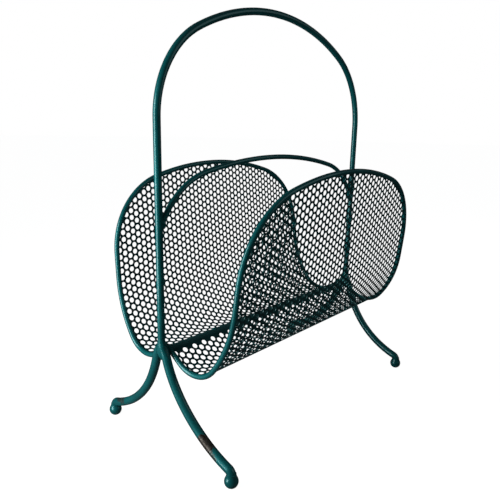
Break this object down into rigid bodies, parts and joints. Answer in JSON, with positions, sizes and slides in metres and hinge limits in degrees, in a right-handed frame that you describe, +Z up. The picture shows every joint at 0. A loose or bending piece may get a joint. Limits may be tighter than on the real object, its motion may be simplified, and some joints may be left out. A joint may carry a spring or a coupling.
{
  "type": "magazine basket",
  "caption": "Two-compartment magazine basket of welded steel rod and perforated sheet, with a tall hoop handle, a lower dividing arch, splayed bent legs and ball feet.",
  "frame": {"origin": "on the floor, in the middle between the four feet", "axes": "+Z up, X along the basket and in the plane of the hoop, +Y from the front compartment to the back one"},
  "size_m": [0.3896, 0.223, 0.4891],
  "materials": {
    "lacquered_rod": "gloss",
    "lacquered_sheet": "gloss"
  },
  "bodies": {
    "root": {"handle_hoop": "lacquered_rod", "divider_arch": "lacquered_rod", "base_rod": "lacquered_rod", "rim_rod_front": "lacquered_rod", "rim_rod_back": "lacquered_rod", "sheet_front": "lacquered_sheet", "sheet_back": "lacquered_sheet", "leg_front_left": "lacquered_rod", "leg_front_right": "lacquered_rod", "leg_back_left": "lacquered_rod", "leg_back_right": "lacquered_rod", "foot_front_left": "lacquered_rod", "foot_front_right": "lacquered_rod", "foot_back_left": "lacquered_rod", "foot_back_right": "lacquered_rod"}
  },
  "joints": []
}
